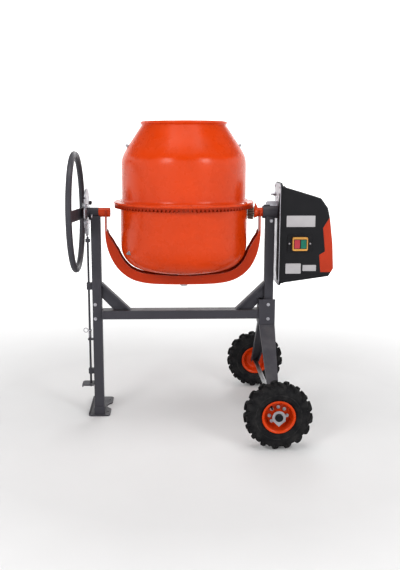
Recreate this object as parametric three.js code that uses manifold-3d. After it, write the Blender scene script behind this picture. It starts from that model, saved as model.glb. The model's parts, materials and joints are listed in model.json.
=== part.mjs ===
// Tilting-drum concrete mixer: an open drum in a tilting yoke, on a three-point frame with two wheels.
// Millimetres, +Z up. +X runs from the handwheel to the motor, and the wheel axle lies along Y.
// Sub-parts are written with the drum axis at X = 0, and moved to the middle of the footprint at the end.
import * as THREE from "three";
import { mergeVertices } from "three/addons/utils/BufferGeometryUtils.js";
import Module from "manifold-3d";

const wasm = await Module();
wasm.setup();

// Driving dimensions
const GAP = 0.3;
const SHIFT_X = -87.25;
const TILT_Z = 972;

const AXLE_X = 390;
const AXLE_Z = 147;
const AXLE_R = 11;
const WHEEL_Y = 423;
const TYRE_R = 137;
const LUG_TOP = 147;
const LUGS_PER_SIDE = 16;

const POST_LEFT_X = -405;
const POST_RIGHT_X = 397;
const POST_HALF = 22;
const TUBE_WALL = 3;
const BEAM_LOW = 474;
const BEAM_HIGH = 516;
const BEAM_HALF = 35;

const BRACKET_X = 349;

const DRUM_UPPER_R = 282;
const DRUM_LOWER_R = 289.5;
const FLANGE_R = 319;
const DRUM_WALL = 3;
const DRUM_BOTTOM = 702;
const SEAM_Z = 1016.4;
const MOUTH_R = 190;
const MOUTH_Z = 1379;

const RING_TEETH = 108;
const PINION_TEETH = 10;
const GEAR_R = 308;
const RING_IN = 294;
const RING_OUT = 317;
const PRESSURE_ANGLE = (25 * Math.PI) / 180;
const TOOTH_SHARE = 0.45;

const STRAP_OUT = 360;
const MOTOR_ARM_IN = 8;
const DISC_R = 110;
const DISC_X = -447;
const NOTCH_STEP = 26;
const HANDWHEEL_X = -494.5;
const HANDWHEEL_R = 262.5;
const HANDWHEEL_TUBE = 14;
const ROD_X = -444;

const BACKPLATE_X = 430;
const HOUSING_HALF = 84;
const MOTOR_Z = 790;
const PULLEY_X = 449;
const PULLEY_R = 68;
const MOTOR_PULLEY_R = 17;

const root = new THREE.Group();
root.name = "concrete_mixer";

// ---- Geometry helpers ----

function clean(geometry) {
  const bare = new THREE.BufferGeometry();
  bare.setAttribute("position", geometry.getAttribute("position").clone());
  if (geometry.index) {
    bare.setIndex(geometry.index.clone());
  }
  const merged = mergeVertices(bare, 1e-3);
  const faces = merged.index.array;
  const kept = [];
  for (let i = 0; i < faces.length; i += 3) {
    const [a, b, c] = [faces[i], faces[i + 1], faces[i + 2]];
    if (a !== b && b !== c && c !== a) {
      kept.push(a, b, c);
    }
  }
  merged.setIndex(kept);
  return merged;
}

function signedVolume(geometry) {
  const p = geometry.getAttribute("position");
  const faces = geometry.index.array;
  const a = new THREE.Vector3();
  const b = new THREE.Vector3();
  const c = new THREE.Vector3();
  let total = 0;
  for (let i = 0; i < faces.length; i += 3) {
    a.fromBufferAttribute(p, faces[i]);
    b.fromBufferAttribute(p, faces[i + 1]);
    c.fromBufferAttribute(p, faces[i + 2]);
    total += a.dot(b.cross(c)) / 6;
  }
  return total;
}

function outward(geometry) {
  const closed = clean(geometry);
  if (signedVolume(closed) < 0) {
    const faces = closed.index.array;
    for (let i = 0; i < faces.length; i += 3) {
      [faces[i + 1], faces[i + 2]] = [faces[i + 2], faces[i + 1]];
    }
  }
  return closed;
}

function solid(geometry) {
  const closed = outward(geometry);
  const vertProperties = new Float32Array(closed.getAttribute("position").array);
  const triVerts = new Uint32Array(closed.index.array);
  return new wasm.Manifold(new wasm.Mesh({ numProp: 3, vertProperties, triVerts }));
}

function fromSolid(body) {
  const mesh = body.getMesh();
  const geometry = new THREE.BufferGeometry();
  geometry.setAttribute("position", new THREE.BufferAttribute(new Float32Array(mesh.vertProperties), 3));
  geometry.setIndex(Array.from(mesh.triVerts));
  return geometry;
}

function join(...parts) {
  return fromSolid(parts.map(solid).reduce((sum, next) => sum.add(next)));
}

function cut(base, ...tools) {
  return fromSolid(tools.map(solid).reduce((rest, tool) => rest.subtract(tool), solid(base)));
}

function common(a, b) {
  return fromSolid(solid(a).intersect(solid(b)));
}

function block(x0, x1, y0, y1, z0, z1) {
  const box = new THREE.BoxGeometry(x1 - x0, y1 - y0, z1 - z0);
  return box.translate((x0 + x1) / 2, (y0 + y1) / 2, (z0 + z1) / 2);
}

// A profile of [radius, height] pairs turned about an axis through the origin.
function turned(profile, segments, axis = "z") {
  const points = profile.map(([r, h]) => new THREE.Vector2(r, h));
  const geometry = new THREE.LatheGeometry(points, segments);
  if (axis === "z") {
    geometry.rotateX(Math.PI / 2);
  }
  if (axis === "x") {
    geometry.rotateZ(-Math.PI / 2);
  }
  return outward(geometry);
}

function rod(radius, from, to, segments, axis) {
  const profile = [[0, from], [radius, from], [radius, to], [0, to]];
  return turned(profile, segments, axis);
}

function pipe(inner, outer, from, to, segments, axis) {
  const profile = [[inner, from], [outer, from], [outer, to], [inner, to], [inner, from]];
  return turned(profile, segments, axis);
}

const PLANES = {
  xy: new THREE.Matrix4(),
  xz: new THREE.Matrix4().makeBasis(
    new THREE.Vector3(1, 0, 0), new THREE.Vector3(0, 0, 1), new THREE.Vector3(0, -1, 0)),
  yz: new THREE.Matrix4().makeBasis(
    new THREE.Vector3(0, 1, 0), new THREE.Vector3(0, 0, 1), new THREE.Vector3(1, 0, 0)),
};

// A flat outline pushed along the third axis, from one coordinate to another.
function prism(outline, plane, from, to, holes = []) {
  const shape = new THREE.Shape(outline.map(([u, v]) => new THREE.Vector2(u, v)));
  for (const hole of holes) {
    shape.holes.push(new THREE.Path(hole.map(([u, v]) => new THREE.Vector2(u, v))));
  }
  const geometry = new THREE.ExtrudeGeometry(shape, { depth: to - from, bevelEnabled: false });
  const offset = plane === "xz" ? -to : from;
  return geometry.translate(0, 0, offset).applyMatrix4(PLANES[plane]);
}

function arc(cx, cy, radius, fromDeg, toDeg, steps) {
  const points = [];
  for (let i = 0; i <= steps; i += 1) {
    const angle = ((fromDeg + ((toDeg - fromDeg) * i) / steps) * Math.PI) / 180;
    points.push([cx + radius * Math.cos(angle), cy + radius * Math.sin(angle)]);
  }
  return points;
}

function ringHole(cx, cy, radius, steps) {
  return arc(cx, cy, radius, 360 / steps, 360, steps - 1);
}

function roundedRect(u0, u1, v0, v1, radius, steps = 2) {
  return [
    ...arc(u1 - radius, v0 + radius, radius, -90, 0, steps),
    ...arc(u1 - radius, v1 - radius, radius, 0, 90, steps),
    ...arc(u0 + radius, v1 - radius, radius, 90, 180, steps),
    ...arc(u0 + radius, v0 + radius, radius, 180, 270, steps),
  ];
}

// A skin through rings of points, closed by a flat cap at each end.
function loft(rings, capOutline) {
  const count = rings[0].length;
  const positions = [];
  const faces = [];
  for (const ring of rings) {
    for (const [x, y, z] of ring) {
      positions.push(x, y, z);
    }
  }
  for (let k = 0; k + 1 < rings.length; k += 1) {
    for (let i = 0; i < count; i += 1) {
      const j = (i + 1) % count;
      const a = k * count;
      const b = a + count;
      faces.push(a + i, a + j, b + j, a + i, b + j, b + i);
    }
  }
  const outline = capOutline.map(([u, v]) => new THREE.Vector2(u, v));
  const last = (rings.length - 1) * count;
  for (const [p, q, r] of THREE.ShapeUtils.triangulateShape(outline, [])) {
    const flip = THREE.ShapeUtils.area(outline) > 0 ? [p, r, q] : [p, q, r];
    const turn = THREE.ShapeUtils.area(outline) > 0 ? [p, q, r] : [p, r, q];
    faces.push(...flip);
    faces.push(...turn.map((n) => n + last));
  }
  const geometry = new THREE.BufferGeometry();
  geometry.setAttribute("position", new THREE.Float32BufferAttribute(positions, 3));
  geometry.setIndex(faces);
  return outward(geometry);
}

function add(name, geometry, look) {
  const closed = outward(geometry).translate(SHIFT_X, 0, 0);
  closed.computeVertexNormals();
  const material = new THREE.MeshStandardMaterial(look);
  material.name = name;
  const mesh = new THREE.Mesh(closed, material);
  mesh.name = name;
  root.add(mesh);
}

const ORANGE = { color: 0xd84a12, roughness: 0.4, metalness: 0.1 };
const GREY = { color: 0x4a4b50, roughness: 0.55, metalness: 0.2 };
const ZINC = { color: 0xb8bac0, roughness: 0.4, metalness: 0.8 };
const BLACK = { color: 0x26262a, roughness: 0.7, metalness: 0 };
const STEEL = { color: 0x8d8f94, roughness: 0.35, metalness: 0.9 };
const IRON = { color: 0x5c4a40, roughness: 0.7, metalness: 0.5 };
const RUBBER = { color: 0x201f22, roughness: 0.9, metalness: 0 };

// ---- Frame ----

function footPlate() {
  const x0 = -456;
  const x1 = -354;
  const outline = [
    [x0 + 12, -36], [x1 - 10, -36], [x1, -26], [x1, 52],
    ...arc(x1 + 22, 98.5, 46, 234, 126, 6).map(([x, y]) => [Math.min(x, x1), y]),
    [x1, 145], [x1, 222], [x1 - 10, 232], [x0 + 12, 232], [x0, 220], [x0, -24],
  ];
  const holes = [[-370, 185], [-368, 14], [-442, 190]].map(([x, y]) => ringHole(x, y, 4.5, 12).reverse());
  const plate = prism(outline, "xy", 0, 6, holes);
  const lip = block(x0, x0 + 5, -22, 218, 5, 15);
  const socketOuter = roundedRect(POST_LEFT_X - 25.3, POST_LEFT_X + 25.3, -25.3, 25.3, 5);
  const socketInner = roundedRect(POST_LEFT_X - 22.3, POST_LEFT_X + 22.3, -22.3, 22.3, 4);
  const socket = prism(socketOuter, "xy", 5, 43, [socketInner.reverse()]);
  const gussetOutline = [[24.8, 5], [110, 5], [110, 12], [24.8, 41]];
  const gusset = prism(gussetOutline, "yz", POST_LEFT_X - 4, POST_LEFT_X + 4);
  return join(plate, lip, socket, gusset);
}

function squareTube(cx, half, z0, z1) {
  const outer = roundedRect(cx - half, cx + half, -half, half, 4);
  const hollow = half - TUBE_WALL;
  const inner = roundedRect(cx - hollow, cx + hollow, -hollow, hollow, 2);
  return prism(outer, "xy", z0, z1, [inner.reverse()]);
}

function rodGuide(z0, z1, reach) {
  const arm = block(ROD_X - 9, POST_LEFT_X - POST_HALF + 1, -reach, reach, z0, z1);
  return cut(arm, rod(5.4, z0 - 1, z1 + 1, 16, "z").translate(ROD_X, 0, 0));
}

// The post carries two guides for the lock rod, and the seat of its spring between them.
function postLeft() {
  const saddle = rod(22.6, -440, -370, 24, "x").translate(0, 0, TILT_Z);
  const tube = cut(squareTube(POST_LEFT_X, POST_HALF, 6 + GAP, TILT_Z - 14), saddle);
  return join(tube, rodGuide(205, 230, 10), rodGuide(369, 376.5, 9), rodGuide(612, 645, 10));
}

function postRight() {
  const saddle = rod(29.4, 360, 440, 24, "x").translate(0, 0, TILT_Z);
  return cut(squareTube(POST_RIGHT_X, 21, 452, TILT_Z - 16), saddle);
}

function crossBeam() {
  const outer = roundedRect(-BEAM_HALF, BEAM_HALF, BEAM_LOW, BEAM_HIGH, 5);
  const inner = roundedRect(-BEAM_HALF + 3, BEAM_HALF - 3, BEAM_LOW + 3, BEAM_HIGH - 3, 3);
  return prism(outer, "yz", POST_LEFT_X + POST_HALF + GAP, BRACKET_X - GAP, [inner.reverse()]);
}

// side is -1 on the handwheel's post and 1 on the motor's.
function brace(post, side) {
  const outline = [
    [post, 571], [post, 645], [post - side * 2, 645], [post - side * 134, BEAM_HIGH + GAP],
    [post - side * 52, BEAM_HIGH + GAP],
  ];
  const web = prism(outline, "xz", -2.5, 2.5);
  const edge = [
    [post, 633], [post, 645], [post - side * 2, 645],
    [post - side * 134, BEAM_HIGH + GAP], [post - side * 122, BEAM_HIGH + GAP],
  ];
  const clearOfBracket = block(BRACKET_X - GAP, 440, -42, 42, 440, 568 + GAP);
  return cut(join(web, prism(edge, "xz", -20, 20)), clearOfBracket);
}

// A sheet-steel channel that clasps the right post, open towards the motor.
function legBracket() {
  const outline = [
    [BRACKET_X, -40], [425, -40], [425, -36], [BRACKET_X + 4, -36],
    [BRACKET_X + 4, 36], [425, 36], [425, 40], [BRACKET_X, 40],
  ];
  return prism(outline, "xy", 448, 568);
}

function wheelLeg(side) {
  const top = [[353, 38], [425, 38], [425, 8], [421, 8], [421, 34], [357, 34], [357, 8], [353, 8]];
  const foot = [
    [365, 384], [405, 384], [405, 350], [401, 350], [401, 380], [369, 380], [369, 350], [365, 350],
  ];
  const topRing = top.map(([x, y]) => [x, side * y, 447.6]);
  const footRing = foot.map(([x, y]) => [x, side * y, AXLE_Z + 3]);
  const skin = loft([topRing, footRing], top.map(([x, y]) => [x, side * y]));
  const axleSlot = rod(AXLE_R + GAP, -420, 420, 16, "y").translate(AXLE_X, 0, AXLE_Z);
  return cut(skin, axleSlot);
}

function axle() {
  return rod(AXLE_R, -WHEEL_Y - 41, WHEEL_Y + 41, 20, "y").translate(AXLE_X, 0, AXLE_Z);
}

function bearingLeft() {
  const shell = pipe(17.3, 22.2, -430, -390.5, 32, "x");
  const screw = prism(ringHole(0, -25.5, 5, 6), "yz", -436, -427.4);
  return join(shell, screw).translate(0, 0, TILT_Z);
}

function bearingRight() {
  const shell = pipe(21.4, 29, 362.5, 445, 32, "x");
  const lug = block(368, 396, -8, 8, 26, 34);
  return cut(join(shell, lug), rod(21.4, 362, 446, 32, "x")).translate(0, 0, TILT_Z);
}

// ---- Lock rod and foot pedal ----

function lockRod() {
  const nut = prism(ringHole(0, 0, 8.5, 6), "xy", 144, 151.7);
  return join(rod(5, 140, 834.7, 16, "z"), nut).translate(ROD_X, 0, 0);
}

function lockPawl() {
  const base = block(ROD_X - 10, ROD_X + 11, -11, 11, 835, 849);
  return join(base, block(ROD_X - 5, ROD_X + 5, -4, 4, 848, 860));
}

function rodCollar() {
  const collar = pipe(5.3, 9, 412.5, 419, 16, "z").translate(ROD_X, 0, 0);
  const ring = new THREE.TorusGeometry(10, 1.8, 6, 18).rotateX(Math.PI / 2).translate(ROD_X - 18.5, 0, 415.8);
  return join(collar, ring);
}

function returnSpring() {
  const points = [];
  const steps = 44;
  for (let i = 0; i <= steps; i += 1) {
    const angle = (i / steps) * Math.PI * 2 * 4.5;
    const z = 379 + (i / steps) * 31.8;
    points.push(new THREE.Vector3(ROD_X + 7 * Math.cos(angle), 7 * Math.sin(angle), z));
  }
  const wire = new THREE.Shape(ringHole(0, 0, 1.1, 4).map(([u, v]) => new THREE.Vector2(u, v)));
  const path = new THREE.CatmullRomCurve3(points);
  return new THREE.ExtrudeGeometry(wire, { steps, bevelEnabled: false, extrudePath: path });
}

function footPedal() {
  const outline = [
    [-428, -35], [-428, 35], [-474, 35], [-481, 31], [-484, 24],
    [-484, -24], [-481, -31], [-474, -35],
  ];
  const plate = prism(outline, "xy", 152, 157);
  const lip = block(-484, -479, -24, 24, 144, 153);
  return cut(join(plate, lip), rod(5.3, 148, 162, 16, "z").translate(ROD_X, 0, 0));
}

// ---- Yoke ----

const YOKE_OUTER = [
  [STRAP_OUT, 1002], [STRAP_OUT, 875], [356, 840], [347, 799], [330, 756], [305, 715],
  [270, 682], [225, 658], [165, 645], [90, 641], [0, 640],
];
const YOKE_FLANGE = [
  [STRAP_OUT - 4, 885], [340, 866], [313, 808], [283, 755], [243, 713], [190, 691], [100, 683], [0, 680],
];

// The arm on the motor's side stands a little further in than the other.
function mirrored(half) {
  const right = half.map(([x, z]) => [x - MOTOR_ARM_IN * Math.min(1, Math.max(0, (z - 700) / 130)), z]);
  const left = half.slice(0, -1).map(([x, z]) => [-x, z]);
  return [...right, ...left.reverse()];
}

function insetPath(path, depth) {
  return path.map(([x, z], i) => {
    const [x0, z0] = path[Math.max(i - 1, 0)];
    const [x1, z1] = path[Math.min(i + 1, path.length - 1)];
    const length = Math.hypot(x1 - x0, z1 - z0);
    return [x + (depth * (z1 - z0)) / length, z - (depth * (x1 - x0)) / length];
  });
}

function tiltYoke() {
  const outer = mirrored(YOKE_OUTER);
  const inner = insetPath(outer, 6);
  const band = prism([...outer, ...inner.reverse()], "xz", -38, 38);
  const face = [
    [-38, 600], [38, 600], [38, 880], [29, TILT_Z - 8], [29, TILT_Z + 10], [-29, TILT_Z + 10],
    [-29, TILT_Z - 8], [-38, 880],
  ];
  const web = common(band, prism(face, "yz", -400, 400));
  const lip = [...mirrored(YOKE_OUTER.slice(1)), ...mirrored(YOKE_FLANGE).reverse()];
  const flanges = join(web, prism(lip, "xz", -38, -34), prism(lip, "xz", 34, 38));
  const hole = rod(21.9, -400, 400, 32, "x").translate(0, 0, TILT_Z);
  const seat = rod(10.3, 630, 660, 16, "z");
  return cut(flanges, hole, seat);
}

function trunnionLeft() {
  const profile = [
    [0, -458], [17, -458], [17, -390], [21.5, -390], [21.5, -337.5], [18, -337.5], [18, -386], [0, -386],
  ];
  return turned(profile, 32, "x").translate(0, 0, TILT_Z);
}

function trunnionRight() {
  const profile = [
    [12.7, 322], [27, 322], [27, 327], [21, 340], [21, 447], [12.7, 447], [12.7, 322],
  ];
  const sleeve = turned(profile, 32, "x");
  const fin = prism([[326, 24], [338, 19], [338, 27], [329, 41], [326, 41]], "xz", -3, 3);
  return join(sleeve, fin).translate(0, 0, TILT_Z);
}

function drumSpindle() {
  const profile = [
    [0, 632], [10, 632], [10, 646.3], [27, 646.3], [27, 655.7], [17, 655.7], [17, 733], [14, 736], [0, 736],
  ];
  return join(turned(profile, 24), prism(ringHole(0, 0, 17, 6), "xy", 628, 639.7));
}

function lockDisc() {
  const outline = [];
  const half = 5;
  for (let k = -5; k <= 5; k += 1) {
    const down = ((-90 + k * NOTCH_STEP) * Math.PI) / 180;
    const edge = Math.asin(half / DISC_R);
    const cos = Math.cos(down);
    const sin = Math.sin(down);
    const floor = DISC_R - 14;
    outline.push([DISC_R * Math.cos(down - edge), DISC_R * Math.sin(down - edge)]);
    outline.push([floor * cos + half * sin, floor * sin - half * cos]);
    outline.push([floor * cos - half * sin, floor * sin + half * cos]);
    const next = ((NOTCH_STEP * Math.PI) / 180 - 2 * edge) / 4;
    for (let s = 0; s < 4; s += 1) {
      outline.push([DISC_R * Math.cos(down + edge + s * next), DISC_R * Math.sin(down + edge + s * next)]);
    }
  }
  const last = -90 + 5 * NOTCH_STEP + 21;
  outline.push(...arc(0, 0, DISC_R, last, 360 - 90 - 5 * NOTCH_STEP - 5, 8));
  const plate = prism(outline, "yz", DISC_X, DISC_X + 6, [ringHole(0, 0, 17.6, 32).reverse()]);
  const nutHigh = prism(ringHole(0, 36, 7.5, 6), "yz", DISC_X - 6, DISC_X + 1);
  const nutLow = prism(ringHole(0, -36, 7.5, 6), "yz", DISC_X - 6, DISC_X + 1);
  return join(plate, nutHigh, nutLow).translate(0, 0, TILT_Z);
}

function handwheelRing(tube = HANDWHEEL_TUBE) {
  const ring = new THREE.TorusGeometry(HANDWHEEL_R, tube, 8, 36).rotateY(Math.PI / 2);
  return ring.translate(HANDWHEEL_X, 0, TILT_Z);
}

function handwheelSpokes() {
  const outline = [
    [-458.4, -55], [-490, -254], [-496, -254], [-464.4, -55.5],
    [-464.4, 55.5], [-496, 254], [-490, 254], [-458.4, 55],
  ];
  const bar = prism(outline, "xy", TILT_Z - 25, TILT_Z + 25);
  const bore = rod(8.3, -470, -450, 16, "x").translate(0, 0, TILT_Z);
  return cut(bar, bore, handwheelRing(HANDWHEEL_TUBE + GAP));
}

function handwheelBolt() {
  const shank = rod(8, -466, -458.4, 16, "x");
  const washer = rod(17, -468, -464.8, 20, "x");
  const head = prism(ringHole(0, 0, 13.5, 6), "yz", -478, -467.5);
  return join(shank, washer, head).translate(0, 0, TILT_Z);
}

// ---- Drum ----

const DRUM_SEGMENTS = 40;
const LOW_BOLT_DEG = 31.5;
const TOP_BOLT_DEG = 4.5;

function drumLower() {
  const r = DRUM_LOWER_R;
  const outer = [
    [31, DRUM_BOTTOM], [83, DRUM_BOTTOM], [150, 706.5], [190, 712.5], [222, 722], [253, 741], [280, 776],
    [r, 814], [r, SEAM_Z - 3], [FLANGE_R - 3, SEAM_Z - 3], [FLANGE_R - 3, SEAM_Z],
  ];
  const inner = [
    [r - 3, SEAM_Z], [r - 3, 814], [277.2, 777.6], [250.6, 743.4], [220.4, 725], [189.3, 715.7],
    [149.6, 709.8], [83, DRUM_BOTTOM + 3.2], [31, DRUM_BOTTOM + 3.2], [31, DRUM_BOTTOM],
  ];
  return turned([...outer, ...inner], DRUM_SEGMENTS);
}

function drumUpper() {
  const r = DRUM_UPPER_R;
  const z = SEAM_Z + GAP;
  const outer = [
    [r - DRUM_WALL, z], [FLANGE_R, z], [FLANGE_R, z + 6.5], [FLANGE_R - 5, z + 6.5], [FLANGE_R - 7, z + 3.5],
    [288, z + 3.5], [r, z + 11], [r, 1205], [278, 1223], [256, 1262],
  ];
  const lip = [
    [MOUTH_R - 1, MOUTH_Z - 15], [MOUTH_R + 5, MOUTH_Z - 10], [MOUTH_R + 6, MOUTH_Z - 5],
    [MOUTH_R + 1, MOUTH_Z], [MOUTH_R - 5, MOUTH_Z - 3], [MOUTH_R - 6, MOUTH_Z - 12],
  ];
  const inner = [[252.6, 1260.5], [274.8, 1221.5], [r - DRUM_WALL, 1204], [r - DRUM_WALL, z]];
  return turned([...outer, ...lip, ...inner], DRUM_SEGMENTS);
}

function drumBoss() {
  const profile = [
    [17.4, 664], [30, 664], [30, 694], [60, 694], [60, 701.7], [30.6, 701.7], [30.6, 738], [24, 745],
    [0, 745], [0, 737], [17.4, 737], [17.4, 664],
  ];
  return turned(profile, 24);
}

function mixingBlade(side) {
  const path = [
    [273.3, LOW_BOLT_DEG, 787], [280.2, LOW_BOLT_DEG, 813], [268, 29, 860], [230, 24, 925], [197, 18, 1000],
    [190, 13, 1080], [212, 9, 1165], [240, 6, 1228], [245.5, TOP_BOLT_DEG, 1257], [229, TOP_BOLT_DEG, 1282],
  ];
  const rings = path.map(([r, deg, z], i) => {
    const [r0, , z0] = path[Math.max(i - 1, 0)];
    const [r1, , z1] = path[Math.min(i + 1, path.length - 1)];
    const length = Math.hypot(r1 - r0, z1 - z0);
    const outR = (z1 - z0) / length;
    const outZ = -(r1 - r0) / length;
    const angle = (deg * Math.PI) / 180 + (side > 0 ? 0 : Math.PI);
    const corners = [[-21, -2.5], [21, -2.5], [21, 2.5], [-21, 2.5]];
    return corners.map(([across, out]) => {
      const radius = r + out * outR;
      const x = radius * Math.cos(angle) - across * Math.sin(angle);
      const y = radius * Math.sin(angle) + across * Math.cos(angle);
      return [x, y, z + out * outZ];
    });
  });
  return loft(rings, [[0, 0], [1, 0], [1, 1], [0, 1]]);
}

// A nut on a washer with the end of its bolt, standing on the drum wall at a radius, height, slope and angle.
function wallBolt(radius, z, slope, degrees) {
  const washer = rod(10, GAP, 2.3, 16, "x");
  const nut = prism(ringHole(0, 0, 7.6, 6), "yz", 2, 9);
  const end = rod(4, 8, 15, 12, "x");
  const bolt = join(washer, nut, end).rotateY(-slope).translate(radius, 0, z);
  return bolt.rotateZ((degrees * Math.PI) / 180);
}

function ringGear() {
  const pitchHeight = (GEAR_R * PINION_TEETH) / RING_TEETH;
  const tip = pitchHeight - 4.6;
  const base = pitchHeight + 6.4;
  const pitch = (2 * Math.PI * GEAR_R) / RING_TEETH;
  const half = (pitch * TOOTH_SHARE) / 2;
  const lean = Math.tan(PRESSURE_ANGLE);
  const tipAngle = (half - 4.6 * lean) / GEAR_R;
  const baseAngle = (half + 6.4 * lean) / GEAR_R;
  const positions = [];
  const faces = [];
  const inner = RING_IN / GEAR_R;
  const outer = RING_OUT / GEAR_R;
  const top = SEAM_Z - 3 - GAP;
  const point = (scale, angle, height) => {
    const z = height === null ? top : TILT_Z + height * scale;
    positions.push(GEAR_R * scale * Math.cos(angle), GEAR_R * scale * Math.sin(angle), z);
    return positions.length / 3 - 1;
  };
  const stations = [];
  for (let i = 0; i < RING_TEETH; i += 1) {
    const mid = (i * 2 * Math.PI) / RING_TEETH;
    const rows = [[-baseAngle, base], [-tipAngle, tip], [tipAngle, tip], [baseAngle, base]];
    const low = rows.map(([a, h]) => [point(inner, mid + a, h), point(outer, mid + a, h)]);
    const high = [point(inner, mid - baseAngle, null), point(outer, mid - baseAngle, null)];
    stations.push({ low, high });
  }
  for (let i = 0; i < RING_TEETH; i += 1) {
    const here = stations[i];
    const next = stations[(i + 1) % RING_TEETH];
    const low = [...here.low, next.low[0]];
    for (let k = 0; k < 4; k += 1) {
      const [a, b] = low[k];
      const [c, d] = low[k + 1];
      faces.push(a, d, b, a, c, d);
    }
    faces.push(here.high[0], here.high[1], next.high[1], here.high[0], next.high[1], next.high[0]);
    for (const [side, flip] of [[1, false], [0, true]]) {
      const rim = low.map((pair) => pair[side]);
      const fans = [
        [here.high[side], rim[0], rim[1]],
        [here.high[side], rim[1], rim[2]],
        [here.high[side], rim[2], next.high[side]],
        [rim[2], rim[3], next.high[side]],
        [rim[3], rim[4], next.high[side]],
      ];
      for (const [p, q, r] of fans) {
        faces.push(...(flip ? [r, q, p] : [p, q, r]));
      }
    }
  }
  const geometry = new THREE.BufferGeometry();
  geometry.setAttribute("position", new THREE.Float32BufferAttribute(positions, 3));
  geometry.setIndex(faces);
  return geometry;
}

// ---- Pinion and drive ----

function involute(angle) {
  return Math.tan(angle) - angle;
}

function pinionOutline() {
  const pitchRadius = (GEAR_R * PINION_TEETH) / RING_TEETH;
  const baseRadius = pitchRadius * Math.cos(PRESSURE_ANGLE);
  const halfAtPitch = (Math.PI * TOOTH_SHARE) / PINION_TEETH;
  const rootRadius = pitchRadius - 5.6;
  const tipRadius = pitchRadius + 5.2;
  const flank = [baseRadius, pitchRadius, (pitchRadius + tipRadius) / 2, tipRadius];
  const halfAngle = (r) => halfAtPitch + involute(PRESSURE_ANGLE) - involute(Math.acos(baseRadius / r));
  const rows = [[rootRadius, halfAngle(baseRadius)], ...flank.map((r) => [r, halfAngle(r)])];
  const outline = [];
  for (let i = 0; i < PINION_TEETH; i += 1) {
    const mid = Math.PI / 2 + ((i + 0.5) * 2 * Math.PI) / PINION_TEETH;
    for (const [r, half] of rows) {
      outline.push([r * Math.cos(mid - half), r * Math.sin(mid - half)]);
    }
    for (const [r, half] of [...rows].reverse()) {
      outline.push([r * Math.cos(mid + half), r * Math.sin(mid + half)]);
    }
  }
  return outline;
}

function pinionGear() {
  const outline = pinionOutline();
  const rings = [RING_IN, RING_OUT + 1].map((x) => {
    return outline.map(([y, z]) => [x, (y * x) / GEAR_R, (z * x) / GEAR_R]);
  });
  return cut(loft(rings, outline), rod(12.3, 280, 330, 20, "x")).translate(0, 0, TILT_Z);
}

function pinionShaft() {
  return rod(12, 292.5, 466, 20, "x").translate(0, 0, TILT_Z);
}

function vPulley(radius, groove, bore, z) {
  const x = PULLEY_X;
  const profile = [
    [bore, x], [radius, x], [radius, x + 2.3], [groove, x + 2.6], [groove, x + 11.4], [radius, x + 11.7],
    [radius, x + 14], [bore, x + 14], [bore, x],
  ];
  return turned(profile, 24, "x").translate(0, 0, z);
}

function driveBelt() {
  const loop = (extra) => {
    const big = PULLEY_R - 6 + extra;
    const small = MOTOR_PULLEY_R - 3 + extra;
    const lean = (Math.asin((big - small) / (TILT_Z - MOTOR_Z)) * 180) / Math.PI;
    return [
      ...arc(0, TILT_Z, big, -lean, 180 + lean, 24),
      ...arc(0, MOTOR_Z, small, 180 + lean, 360 - lean, 10),
    ];
  };
  return prism(loop(6.5), "yz", PULLEY_X + 3, PULLEY_X + 11, [loop(0.6).reverse()]);
}

function electricMotor() {
  const fins = [];
  for (let i = 0; i < 12; i += 1) {
    const a = (i * 2 * Math.PI) / 12;
    for (const [r, offset] of [[53, -0.16], [59, -0.08], [59, 0.08], [53, 0.16]]) {
      fins.push([r * Math.cos(a + offset), r * Math.sin(a + offset)]);
    }
  }
  const stator = prism(fins, "yz", 484, 604);
  const bell = turned([[0, 472], [22, 472], [26, 477], [50, 481], [50, 608], [0, 608]], 20, "x");
  const cowl = turned([
    [48, 600], [57, 600], [57, 642], [20, 642], [20, 639], [54, 639], [54, 606], [48, 606], [48, 600],
  ], 20, "x");
  return cut(join(stator, bell, cowl), rod(7.4, 460, 620, 16, "x")).translate(0, 0, MOTOR_Z);
}

function motorPulley() {
  const pulley = vPulley(MOTOR_PULLEY_R + 2, MOTOR_PULLEY_R - 3, 6, MOTOR_Z);
  return join(pulley, rod(7, 447, 632, 16, "x").translate(0, 0, MOTOR_Z));
}

function coolingFan() {
  const parts = [pipe(7.3, 14, 612, 630, 16, "x")];
  for (let i = 0; i < 6; i += 1) {
    parts.push(block(614, 628, -1.5, 1.5, 12, 44).rotateX((i * Math.PI) / 3));
  }
  return join(...parts).translate(0, 0, MOTOR_Z);
}

function runCapacitor() {
  const profile = [[0, 500], [17, 500], [19, 502], [19, 566], [15, 570], [0, 570]];
  return turned(profile, 20, "x").translate(0, 0, 869);
}

function motorBackplate() {
  const outline = roundedRect(-86, 86, 642, 1104, 22, 3);
  const opening = ringHole(0, TILT_Z, 29.5, 24).reverse();
  const slot = ringHole(-5, 1040, 6, 12).reverse();
  const plate = prism(outline, "yz", BACKPLATE_X, BACKPLATE_X + 4, [opening, slot]);
  const stud = rod(4, 410, BACKPLATE_X + 2, 10, "x").translate(0, 70, 1049);
  const shelfZ = MOTOR_Z - 59 - GAP;
  const shelf = block(BACKPLATE_X + 2, 600, -46, 46, shelfZ - 6, shelfZ);
  const rib = prism([[432, shelfZ - 50], [432, shelfZ - 3], [560, shelfZ - 3]], "xz", -3, 3);
  return join(plate, stud, shelf, rib);
}

const HOUSING_SIDE = [
  [441, 650.5], [661, 683], [683, 719], [676, 834], [661, 948], [650, 995], [618, 1039], [441, 1094],
];
const COVER_SIDE = [[655, 951], [628, 906], [640, 799], [614, 783], [622, 703], [720, 703], [720, 951]];

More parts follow.
